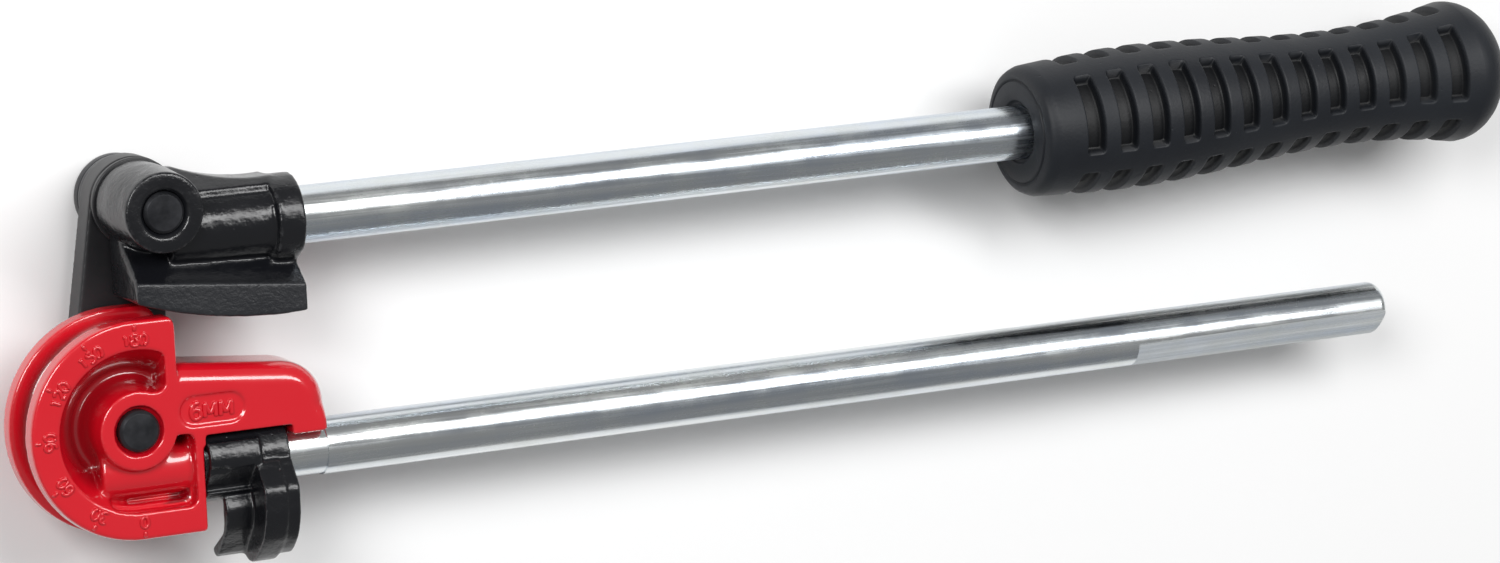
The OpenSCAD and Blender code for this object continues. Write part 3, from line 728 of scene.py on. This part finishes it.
def gripSurface(g):
    # a profile turned about the rod's axis; inside each slot's rounded rectangle the radius falls to the
    # slot's floor, over a narrow rounded edge
    half = np.array([0, 0.5, 0.95, 1.3, 1.52, 1.68, 1.8, 1.93, 2.1, 2.3, 2.7])
    steps = np.concatenate([-half[:0:-1], half])
    body = (g["firstSlot"] + g["pitch"] * np.arange(g["slots"]))[:, None] + steps[None, :]
    body = body.ravel()
    domeAt = g["long"] - g["dome"]
    front = np.linspace(2.2, body[0] - 0.6, 9)
    back = np.linspace(body[-1] + 0.6, domeAt, 10)
    x = np.concatenate([front, body, back])
    r = gripRadius(x, g)
    r0 = float(gripRadius(0.0, g))
    a = np.radians(np.array([8, 16, 25, 35, 45, 55, 65, 74, 82, 87]))
    rEnd = float(gripRadius(domeAt, g))
    domeX = domeAt + g["dome"] * np.sin(a)
    domeR = rEnd * np.cos(a) + (1 - np.cos(a)) * g["tip"]
    # the front face from the rod outwards: recess, flat face, fine groove round it, and rounded shoulder
    headX = np.array([3.0, 3.0, 0.85, 0.8, 0.7, 0.2, 0.05, 0, 0, 0.08, 0.42, 0.45,
                      0.14, 0.16, 0.38, 0.8, 1.4])
    headR = np.array([1e-3, g["rodR"] - 0.02, g["rodR"], 5.35, 5.8, 5.92, 6.0, 6.15, 9.3, 9.42, 9.52, 9.72,
                      9.84, 10.2, r0 - 1.0, r0 - 0.45, r0 - 0.14])
    x = np.concatenate([headX, x, domeX, [g["long"], g["long"]]])
    r = np.concatenate([headR, r, domeR, [g["tip"] * 0.7, 1e-3]])
    quarter = np.array([0, 6, 12, 18, 23, 27, 30, 32, 33.3, 34.5, 35.7, 37, 39, 42])
    quarter = np.concatenate([-quarter[:0:-1], quarter, [45]])
    angle = np.radians((np.array([0, 90, 180, 270])[:, None] + quarter[None, :]).ravel() + g["rowTurn"])
    across = np.radians(np.tile(quarter, 4))[None, :] * r[:, None]
    along = np.abs(x[:, None] - (g["firstSlot"] + g["pitch"] * np.clip(
        np.round((x - g["firstSlot"]) / g["pitch"]), 0, g["slots"] - 1))[:, None])
    halfAcross = r[:, None] * (math.pi / 4) - g["band"] / 2
    qx = along - (g["slotWidth"] / 2 - g["slotRound"])
    qy = np.abs(across) - (halfAcross - g["slotRound"])
    outside = np.hypot(np.maximum(qx, 0), np.maximum(qy, 0)) - g["slotRound"]
    outside += np.minimum(np.maximum(qx, qy), 0)
    sunk = smoothStep(g["edge"] / 2, -g["edge"] / 2, outside) * g["slotDepth"]
    radius = r[:, None] - sunk
    y = radius * np.cos(angle)[None, :]
    z = radius * np.sin(angle)[None, :]
    x = np.broadcast_to(x[:, None], y.shape)
    # the outside leans a little on the rod, from the middle of the front face; the bore does not
    x, y = turned(x, y, g["gripLean"] * smoothStep(5.9, 9.0, r)[:, None])
    x, y = turned(x + g["start"], y - g["drop"], g["lean"])
    points = np.stack([g["pin"][0] + x, g["pin"][1] + y, z], 2)
    return points * mm + np.array([0, 0, midZ]), sunk / g["slotDepth"]


gripPoints, gripSunk = gripSurface(gripShape)
rows, columns = gripPoints.shape[:2]
gripFaces = gridFaces(rows, columns, False, True)[:, ::-1]
grip = newPiece("gripSleeve", gripPoints.reshape(-1, 3), gripFaces, "grip")
# painted shade: the depth of the slots marks where the rubber is darkened
addMeshValue(grip.data, "hollow", gripSunk.ravel())
skin = bmesh.new()
skin.from_mesh(grip.data)
bmesh.ops.remove_doubles(skin, verts=skin.verts, dist=0.004 * mm)
bmesh.ops.recalc_face_normals(skin, faces=skin.faces)
skin.to_mesh(grip.data)
skin.free()
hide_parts("grip")
print("grip made:", len(grip.data.polygons), "faces")


# rods and spring pins keep their CAD shape
for node in ("lower_rod", "upper_rod", "lower_rod_pin", "upper_rod_pin"):
    obj = frame["nodes"][node]
    obj.data.materials.clear()
    obj.data.materials.append(finish[slotOf[node]])


viewpoint = {
    "place": (-0.2253, 0.1422, 0.6783),  # from the pivot, at the middle plane
    "right": (0.8889, -0.0325, 0.4570),
    "up": (0.1058, 0.9851, -0.1357),
    "lens": 102.57,
}


def addCamera(v):
    right = Vector(v["right"]).normalized()
    up = Vector(v["up"])
    up = (up - up.dot(right) * right).normalized()
    back = right.cross(up)
    turn = Matrix((right, up, back)).transposed().to_4x4()
    data = bpy.data.cameras.new("camera")
    data.lens = v["lens"]
    data.sensor_width = 36
    data.clip_start = 0.01
    data.clip_end = 20
    camera = bpy.data.objects.new("camera", data)
    camera.matrix_world = Matrix.Translation(Vector(v["place"]) + Vector((0, 0, midZ))) @ turn
    scene.collection.objects.link(camera)
    scene.camera = camera


addCamera(viewpoint)


def makeFloor(half):
    mesh = bpy.data.meshes.new("floor")
    corners = [(-half, -half, 0), (half, -half, 0), (half, half, 0), (-half, half, 0)]
    mesh.from_pydata(corners, [], [(0, 1, 2, 3)])
    floor = bpy.data.objects.new("floor", mesh)
    scene.collection.objects.link(floor)
    material, tree, shader, coords = startMaterial("pale floor")
    shader.inputs["Base Color"].default_value = (0.92, 0.92, 0.92, 1)
    shader.inputs["Roughness"].default_value = 0.7
    mesh.materials.append(material)


makeFloor(4.0)

lights = {  # place and aim in metres, size in metres, power in watts
    "backBar": {"place": (0.45, 0.65, 1.2), "aim": (0.05, 0.0, 0.0), "size": (1.2, 0.35), "power": 13.5},
    "leftBox": {"place": (-0.75, 0.55, 1.0), "aim": (0.0, 0.0, 0.0), "size": (0.5, 0.5), "power": 10.0},
}
surround = {"colour": (1.0, 1.0, 1.0, 1), "strength": 0.26, "seen": 1.0}  # the second is what the camera sees


def addLights(lights, surround):
    for name, light in lights.items():
        data = bpy.data.lights.new(name, "AREA")
        data.shape = "RECTANGLE"
        data.size, data.size_y = light["size"]
        data.energy = light["power"]
        obj = bpy.data.objects.new(name, data)
        place, aim = Vector(light["place"]), Vector(light["aim"])
        turn = (aim - place).to_track_quat("-Z", "Y").to_matrix().to_4x4()
        obj.matrix_world = Matrix.Translation(place) @ turn
        scene.collection.objects.link(obj)
    world = bpy.data.worlds.new("studio")
    world.use_nodes = True
    backdrop = world.node_tree.nodes["Background"]
    backdrop.inputs["Color"].default_value = surround["colour"]
    seen = world.node_tree.nodes.new("ShaderNodeLightPath").outputs["Is Camera Ray"]
    strength = rangeNode(world.node_tree, seen, 0.0, 1.0, surround["strength"], surround["seen"])
    world.node_tree.links.new(strength, backdrop.inputs["Strength"])
    scene.world = world
    scene.view_settings.view_transform = "Standard"


addLights(lights, surround)
print("studio set")
